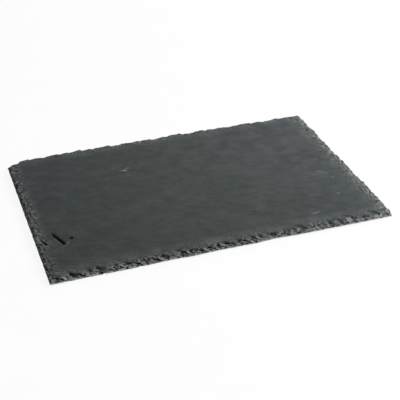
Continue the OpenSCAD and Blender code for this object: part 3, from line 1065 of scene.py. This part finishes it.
def slate_face(n):
    """The riven face: bluish and greenish zones, paler towards the right end in part as painted light,
    grain along the board, dust, and the painted shade of dimples.
    """
    zones = n.math("ADD", n.attribute("bluer"), n.layer(ZONE_LAYER))
    face = n.mix(n.fit(zones, (0.0, 1.0)), GREENISH, BLUISH)
    # Towards the right end the face grows paler, partly as painted light
    face = n.mix(n.math("MULTIPLY", n.attribute("paler"), PALER_AND_LIT_SHARE), face, PALER_AND_LIT)
    tone = n.math("MULTIPLY", n.layer(MOTTLE_LAYER), n.layer(GRAIN_LAYER))
    tone = n.math("MULTIPLY", tone, n.layer(SPECKLE_LAYER))
    face = n.mix(1.0, face, n.grey(tone), "MULTIPLY")
    streaks = n.mix(n.layer(STREAK_PLACE_LAYER), (1.0, 1.0, 1.0), n.grey(n.layer(STREAK_LAYER)))
    face = n.mix(1.0, face, streaks, "MULTIPLY")
    # Dust, and the painted shade of dimples
    return n.mark(face, 1.0, DUST, DIMPLE_SHADE)


def slate_wear(n, face):
    """The face with its margin rubbed and crushed, the painted shade of nicks in it, and its bruises.
    """
    margin = n.math("MULTIPLY", n.attribute("margin"), n.layer(MARGIN_LAYER))
    # Rubbed and crushed margin, and the painted shade of nicks
    face = n.mark(face, margin, RUBBED, CRUSHED, NICK_SHADE)
    return n.mark(face, n.attribute("bruise"), BRUISED)


def slate_break(n, face):
    """The face and its paler broken stone, with the painted highlights and shade of small chips, and
    painted shade in hollows, slits and splits.
    """
    broken = n.mix(n.layer(BROKEN_LAYER), BROKEN_DARK, BROKEN_PALE)
    broken = n.mix(n.attribute("ridge"), broken, RIDGE_PALE_AND_LIT)
    ragged = n.math("ADD", n.attribute("fresh"), n.layer(RAGGED_LAYER))
    colour = n.mix(n.fit(ragged, BROKEN_LIMITS), face, broken)
    # Painted highlights and shade of small chips by the sides
    painted_chips = n.math("MULTIPLY", n.attribute("painted_chips"), n.layer(PAINTED_CHIPS_LAYER))
    colour = n.mark(colour, painted_chips, CHIP_LIT, CHIP_SHADED)
    # Painted shade in the hollows, slits and splits
    return n.mix(n.attribute("cavity_shade"), colour, CAVITY_SHADE)


def slate():
    """Riven slate with worn margins and paler broken stone."""
    n = Nodes(bpy.data.materials.new("slate"))
    n.put(slate_break(n, slate_wear(n, slate_face(n))), n.shader.inputs["Base Color"])
    rough = n.math("ADD", n.layer(ROUGH_LAYER), n.fit(n.attribute("fresh"), *FRESH_ROUGH))
    n.put(rough, n.shader.inputs["Roughness"])
    n.shader.inputs["Specular IOR Level"].default_value = SLATE_SPECULAR
    bump = n.bump(n.noise(*CLEAVED), *CLEAVED_BUMP)
    bump = n.bump(n.noise(*GRITTY), *GRITTY_BUMP, bump)
    n.put(bump, n.shader.inputs["Normal"])
    return n.owner


# Foam and film: two colours, the cloud between them, the roughness at each, the ripple of
# the bumps, and the bumps' strength and depth
CLOUD_LIMITS = (0.3, 0.7)
CELLS = (0.6, 3.0, 0.7)
# The foam's colour follows the same noise as its bumps: painted shade in the pits, a painted highlight
# on the rims
FOAM = (((0.008, 0.008, 0.009), (0.022, 0.022, 0.023)), CELLS, (0.75, 0.92), CELLS, (0.6, 0.0003))
FOAM_SPECULAR = 0.3
FILM = (
    ((0.50, 0.49, 0.45), (0.62, 0.61, 0.57)), (2.0, 3.0, 0.6), (0.30, 0.45),
    (0.8, 3.0, 0.6), (0.2, 0.0001),
)


def cloudy(name, colours, cloud, roughness, ripple, bump):
    """The nodes of a material whose colour and roughness follow a cloud, with fine bumps."""
    n = Nodes(bpy.data.materials.new(name))
    level = n.noise(*cloud)
    n.put(n.mix(n.fit(level, CLOUD_LIMITS), *colours), n.shader.inputs["Base Color"])
    n.put(n.fit(level, CLOUD_LIMITS, roughness), n.shader.inputs["Roughness"])
    n.put(n.bump(n.noise(*ripple), *bump), n.shader.inputs["Normal"])
    return n


def foam():
    """Black closed-cell foam: fine cells that show as pits with painted shade and paler rims with a
    painted highlight, as the colour follows the bumps.
    """
    n = cloudy("foam", *FOAM)
    n.shader.inputs["Specular IOR Level"].default_value = FOAM_SPECULAR
    return n.owner


def film():
    """Milky adhesive film, a little cloudy, with a soft gloss."""
    return cloudy("film", *FILM).owner


# A foam foot: sides of the disc, rings of its wall and of its faces, how far the cut edge
# rounds and the wall draws in, and the angle of a sharp edge
FOOT_SIDES = 96
FOOT_WALL_RINGS = 9
FOOT_FACE_RINGS = (0.96, 0.90, 0.80, 0.68, 0.55, 0.42, 0.28, 0.14)
FOOT_EDGE_ROUND = 0.25
FOOT_WAIST = 0.15
FOOT_SHARP = math.radians(50)

# Cells pit the cut wall and the underside: their depth, size and limits, the factor from the
# foot's place to their seed, the share of the height where they begin to fade, the shares
# of the radius where the wall begins, and how high the underside's go
FOOT_CELL_DEPTH = 0.07
FOOT_CELL_SIZE = 0.55
FOOT_CELL_LIMITS = (0.0, 0.6)
FOOT_SEED_FACTOR = 100
FOOT_PLAIN_SHARE = 0.9
FOOT_WALL_SHARES = (0.90, 0.96)
FOOT_UNDERSIDE_HEIGHT = 0.3


def foot_profile(radius, height):
    """Radii and heights of the disc's rings, from the middle of its underside to its top."""
    rings = [(radius * share, 0.0) for share in FOOT_FACE_RINGS[::-1]]
    for k in range(FOOT_WALL_RINGS + 1):
        t = k / FOOT_WALL_RINGS
        from_end = min(t, 1 - t) * height
        rounding = FOOT_EDGE_ROUND * (1 - min(from_end / FOOT_EDGE_ROUND, 1)) ** 2
        rings.append((radius - rounding - FOOT_WAIST * math.sin(math.pi * t), t * height))
    return rings + [(radius * share, height) for share in FOOT_FACE_RINGS]


def foot_points(rings, height):
    """The points of a disc with these rings, between the middles of its two faces."""
    points = [(0, 0, 0)]
    for ring_radius, z in rings:
        for i in range(FOOT_SIDES):
            angle = 2 * math.pi * i / FOOT_SIDES
            points.append((ring_radius * math.cos(angle), ring_radius * math.sin(angle), z))
    points.append((0, 0, height))
    return np.array(points, float)


def foot_faces(rings):
    """The faces of a disc with this many rings."""
    faces = []
    top = 1 + (rings - 1) * FOOT_SIDES
    for i in range(FOOT_SIDES):
        j = (i + 1) % FOOT_SIDES
        faces.append((0, 1 + j, 1 + i))
        for k in range(rings - 1):
            a, b = 1 + k * FOOT_SIDES, 1 + (k + 1) * FOOT_SIDES
            faces.append((a + i, a + j, b + j, b + i))
        faces.append((top + i, top + j, top + FOOT_SIDES))
    return faces


def pitted(points, radius, height, seed):
    """The foot's points with cells cut into its wall and underside, and a flat top."""
    pits = FOOT_CELL_DEPTH * patches(points, (FOOT_CELL_SIZE, seed, FOOT_CELL_LIMITS))
    pits *= 1 - smooth(height * FOOT_PLAIN_SHARE, height, points[:, 2])
    across = np.linalg.norm(points[:, :2], axis=1)
    wall = smooth(radius * FOOT_WALL_SHARES[0], radius * FOOT_WALL_SHARES[1], across)
    low = 1 - smooth(0, FOOT_UNDERSIDE_HEIGHT, points[:, 2])
    moved = points.copy()
    moved[:, :2] -= points[:, :2] / np.maximum(across, 0.01)[:, None] * (pits * wall)[:, None]
    moved[:, 2] += pits * low * (1 - wall)
    return moved


def make_foot(name, material):
    """One foam foot, over its packed pad."""
    low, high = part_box(name)
    centre = (low + high) / 2
    radius, height = (high.x - low.x) / 2 / MM, (high.z - low.z) / MM
    rings = foot_profile(radius, height)
    points = pitted(foot_points(rings, height), radius, height, centre.x * FOOT_SEED_FACTOR)
    base = Vector((centre.x, centre.y, low.z))
    placed = [Vector(p) * MM + base for p in points]
    foot_name = name.replace("foot_pad", "foam_foot")
    foot = new_object(foot_name, placed, foot_faces(len(rings)), FOOT_SHARP, material)
    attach(foot, "root")
    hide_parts(name)


def make_feet():
    material = foam()
    for name in FEET:
        make_foot(name, material)


def finish_films():
    """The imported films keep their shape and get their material."""
    material = film()
    for name in FILMS:
        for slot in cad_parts[name].material_slots:
            slot.material = material


# The floor: its size in metres, its whites and the noise between them, and the share of
# plain white in what is seen of it, where the rest keeps the board's shadow
FLOOR_SIZE = 30
FLOOR_COLOURS = ((0.90, 0.90, 0.90), (0.94, 0.94, 0.94))
FLOOR_LAYER = (40, 4.0, 0.6, 1.0, (0.3, 0.7), (0.0, 1.0))
FLOOR_ROUGHNESS = 0.9
FLOOR_WHITE_SHARE = 0.90


def make_floor():
    """A plain white floor that keeps the board's shadow."""
    bpy.ops.mesh.primitive_plane_add(size=FLOOR_SIZE)
    floor = bpy.context.active_object
    floor.name = "floor"
    n = Nodes(bpy.data.materials.new("floor"))
    n.put(n.mix(n.layer(FLOOR_LAYER), *FLOOR_COLOURS), n.shader.inputs["Base Color"])
    n.shader.inputs["Roughness"].default_value = FLOOR_ROUGHNESS
    n.shader.inputs["Specular IOR Level"].default_value = 0.0
    white = n.add("Emission", {"Color": (1, 1, 1, 1), "Strength": 1.0}).outputs[0]
    mixed = n.add("MixShader", {"Fac": n.math("MULTIPLY", n.seen(), FLOOR_WHITE_SHARE)})
    n.put(n.shader.outputs["BSDF"], mixed.inputs[1])
    n.put(white, mixed.inputs[2])
    n.put(mixed.outputs[0], n.tree.nodes["Material Output"].inputs["Surface"])
    floor.data.materials.append(n.owner)


# Two soft lights: the place of each and what it points at, its size, and its power in watts
KEY_LIGHT = ((0.95, -0.55, 0.85), (0, 0, 0), (0.7, 0.7), 20)
BACK_LIGHT = ((0.75, 0.95, 0.62), (0.05, 0, 0), (1.0, 0.5), 6.5)
WORLD_STRENGTH = 0.25


def make_light(name, place, target, size, power):
    lamp = bpy.data.lights.new(name, "AREA")
    lamp.shape = "RECTANGLE"
    lamp.size, lamp.size_y = size
    lamp.energy = power
    holder = in_scene(name, lamp)
    holder.location = place
    holder.rotation_euler = (Vector(target) - Vector(place)).to_track_quat("-Z", "Y").to_euler()


def make_world():
    """A white world: full white where it is seen, and weaker as a light."""
    world = bpy.data.worlds.new("world")
    bpy.context.scene.world = world
    n = Nodes(world)
    background = n.tree.nodes["Background"].inputs
    background["Color"].default_value = (1, 1, 1, 1)
    levels = {"Value": n.seen(), "To Min": WORLD_STRENGTH, "To Max": 1.0}
    n.put(n.add("MapRange", levels).outputs["Result"], background["Strength"])


# The photograph's camera: turn, elevation and roll in degrees, distance in metres, focal
# length in pixels of the 400 pixel picture, and the place of the board's centre in that
# picture, in pixels from its middle
CAMERA_TURN = -19.54
CAMERA_ELEVATION = 31.96
CAMERA_ROLL = 0.16
CAMERA_DISTANCE = 0.8601
CAMERA_CLIP_START = 0.01
FOCAL_PIXELS = 955.9
PICTURE_PIXELS = 400
SENSOR_WIDTH = 36.0
CENTRE_PIXELS = (-8.7, 11.25)


def make_camera():
    """The photograph's camera."""
    turn, rise, roll = (math.radians(a) for a in (CAMERA_TURN, CAMERA_ELEVATION, CAMERA_ROLL))
    back = Vector((math.sin(turn) * math.cos(rise), -math.cos(turn) * math.cos(rise), math.sin(rise)))
    right = Vector((math.cos(turn), math.sin(turn), 0))
    up = back.cross(right)
    right, up = (
        right * math.cos(roll) + up * math.sin(roll),
        up * math.cos(roll) - right * math.sin(roll),
    )
    aside = CAMERA_DISTANCE / FOCAL_PIXELS
    place = back * CAMERA_DISTANCE - right * CENTRE_PIXELS[0] * aside - up * CENTRE_PIXELS[1] * aside
    place.z += slab_low.z
    lens = bpy.data.cameras.new("camera")
    lens.sensor_width = SENSOR_WIDTH
    lens.lens = SENSOR_WIDTH * FOCAL_PIXELS / PICTURE_PIXELS
    lens.clip_start = CAMERA_CLIP_START
    camera = in_scene("camera", lens)
    matrix = Matrix((right, up, back)).transposed().to_4x4()
    matrix.translation = place
    camera.matrix_world = matrix
    bpy.context.scene.camera = camera


make_camera()
make_floor()
make_light("key", *KEY_LIGHT)
make_light("back", *BACK_LIGHT)
make_world()
make_slab()
make_feet()
finish_films()
bpy.context.scene.view_settings.view_transform = "Standard"
